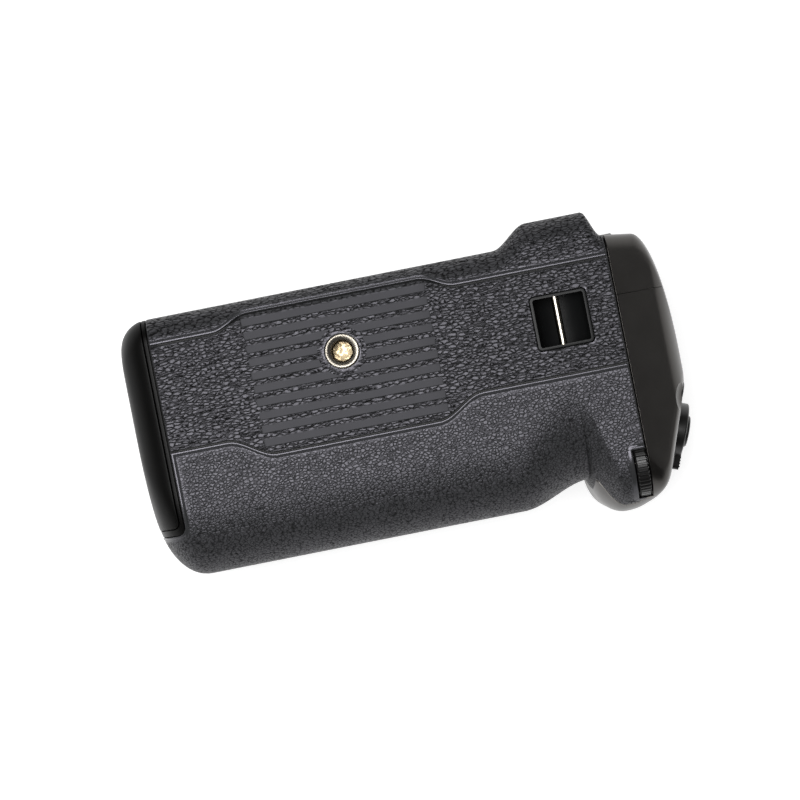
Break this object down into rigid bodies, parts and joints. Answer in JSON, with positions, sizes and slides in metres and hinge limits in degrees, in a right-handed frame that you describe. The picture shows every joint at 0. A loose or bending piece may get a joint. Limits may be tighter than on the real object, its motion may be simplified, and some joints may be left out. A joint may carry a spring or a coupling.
{
  "type": "camera battery grip",
  "caption": "Vertical battery grip for a camera: rubber-skinned handle with a slide-out battery tray, tripod socket, strap pocket, attachment screw wheel and shutter controls.",
  "frame": {"origin": "centre of the tripod socket's mouth, on the base plane", "axes": "+Z out of the base, along the tripod socket's axis; +X along the grip to the control end; +Y to the rear, the thumb side"},
  "size_m": [0.142, 0.0774, 0.0514],
  "materials": {
    "rubber_grain": "leather-grained rubber, matte",
    "shell_black": "fine-textured moulded plastic",
    "control_black": "satin moulded plastic",
    "key_black": "satin moulded plastic",
    "seal_rubber": "smooth soft rubber",
    "bright_steel": "turned, bright",
    "pin_steel": "drawn, bright",
    "screw_steel": "blackened, worn bright on edges",
    "bracket_steel": "stamped",
    "contact_gold": "gold-plated",
    "board_green": "solder mask",
    "sleeve_grey": "moulded plastic",
    "battery_case": "moulded plastic",
    "cable_amber": "polyimide film"
  },
  "bodies": {
    "housing": {"main_shell": "shell_black", "base_skin": "rubber_grain", "front_skin": "rubber_grain", "rear_skin": "rubber_grain", "end_frame": "shell_black", "tray_seal": "seal_rubber", "control_end_cover": "control_black", "rear_control_panel": "control_black", "camera_plate": "shell_black", "plate_screws": "screw_steel", "tripod_socket": "bright_steel", "socket_bracket": "bracket_steel", "bracket_screws": "screw_steel", "strap_pocket": "shell_black", "strap_pin": "pin_steel", "battery_sleeve": "sleeve_grey", "contact_block": "shell_black", "contact_springs": "contact_gold", "main_board": "board_green", "board_screws": "screw_steel", "connector_block": "shell_black", "connector_pins": "contact_gold", "flex_cable": "cable_amber", "locating_pins": "pin_steel", "shutter_collar": "control_black", "control_board": "board_green", "control_switches": "bracket_steel", "front_dial_bracket": "bracket_steel", "front_dial_pin": "pin_steel", "rear_dial_bracket": "bracket_steel", "rear_dial_pin": "pin_steel", "rear_board": "board_green", "rear_switches": "bracket_steel", "stick_holder": "sleeve_grey"},
    "tray": {"battery_tray": "sleeve_grey", "tray_cap": "control_black", "cap_screws": "screw_steel", "tray_contacts": "contact_gold", "inner_battery": "battery_case", "outer_battery": "battery_case", "battery_terminals": "contact_gold"},
    "latch": {"tray_latch": "key_black"},
    "attachment": {"attachment_screw": "bright_steel", "attachment_wheel": "key_black"},
    "shutter": {"shutter_button": "key_black"},
    "lever": {"lock_lever": "key_black"},
    "function_key": {"function_button": "key_black"},
    "front_wheel": {"front_dial": "key_black"},
    "rear_wheel": {"rear_dial": "key_black"},
    "focus_key": {"focus_button": "key_black"},
    "menu_key": {"menu_button": "key_black"},
    "gimbal": {"stick_gimbal": "bracket_steel"},
    "stick": {"focus_stick": "key_black"}
  },
  "joints": [
    {"name": "tray_slide", "type": "slide", "parent": "housing", "child": "tray", "axis": [-1, 0, 0], "range_m": [0, 0.112]},
    {"name": "latch_slide", "type": "slide", "parent": "tray", "child": "latch", "axis": [0, 1, 0], "range_m": [0, 0.004]},
    {"name": "attachment_spin", "type": "hinge", "parent": "housing", "child": "attachment", "pos_m": [0, 0, -0.045], "axis": [0, 0, 1], "continuous": true},
    {"name": "shutter_press", "type": "slide", "parent": "housing", "child": "shutter", "axis": [-0.9336, 0.3584, 0], "range_m": [0, 0.0012], "stiffness_N_per_m": 833.3},
    {"name": "lever_turn", "type": "hinge", "parent": "housing", "child": "lever", "pos_m": [0.0803, -0.0362, -0.026], "axis": [0.9336, -0.3584, 0], "range_deg": [0, 30]},
    {"name": "function_press", "type": "slide", "parent": "housing", "child": "function_key", "axis": [-0.9336, 0.3584, 0], "range_m": [0, 0.0005], "stiffness_N_per_m": 2400},
    {"name": "front_dial_spin", "type": "hinge", "parent": "housing", "child": "front_wheel", "pos_m": [0.0684, -0.04265, -0.00808], "axis": [1, 0, 0], "continuous": true},
    {"name": "rear_dial_spin", "type": "hinge", "parent": "housing", "child": "rear_wheel", "pos_m": [0.0727, 0.0087, -0.026], "axis": [1, 0, 0], "continuous": true},
    {"name": "focus_press", "type": "slide", "parent": "housing", "child": "focus_key", "axis": [0, -1, 0], "range_m": [0, 0.0005], "stiffness_N_per_m": 2400},
    {"name": "menu_press", "type": "slide", "parent": "housing", "child": "menu_key", "axis": [0, -1, 0], "range_m": [0, 0.0005], "stiffness_N_per_m": 2400},
    {"name": "gimbal_tilt", "type": "hinge", "parent": "housing", "child": "gimbal", "pos_m": [0.0535, 0.013, -0.037], "axis": [1, 0, 0], "range_deg": [-6, 6], "stiffness_Nm_per_rad": 0.02},
    {"name": "stick_tilt", "type": "hinge", "parent": "gimbal", "child": "stick", "pos_m": [0.0535, 0.013, -0.037], "axis": [0, 0, 1], "range_deg": [-6, 6], "stiffness_Nm_per_rad": 0.02}
  ]
}
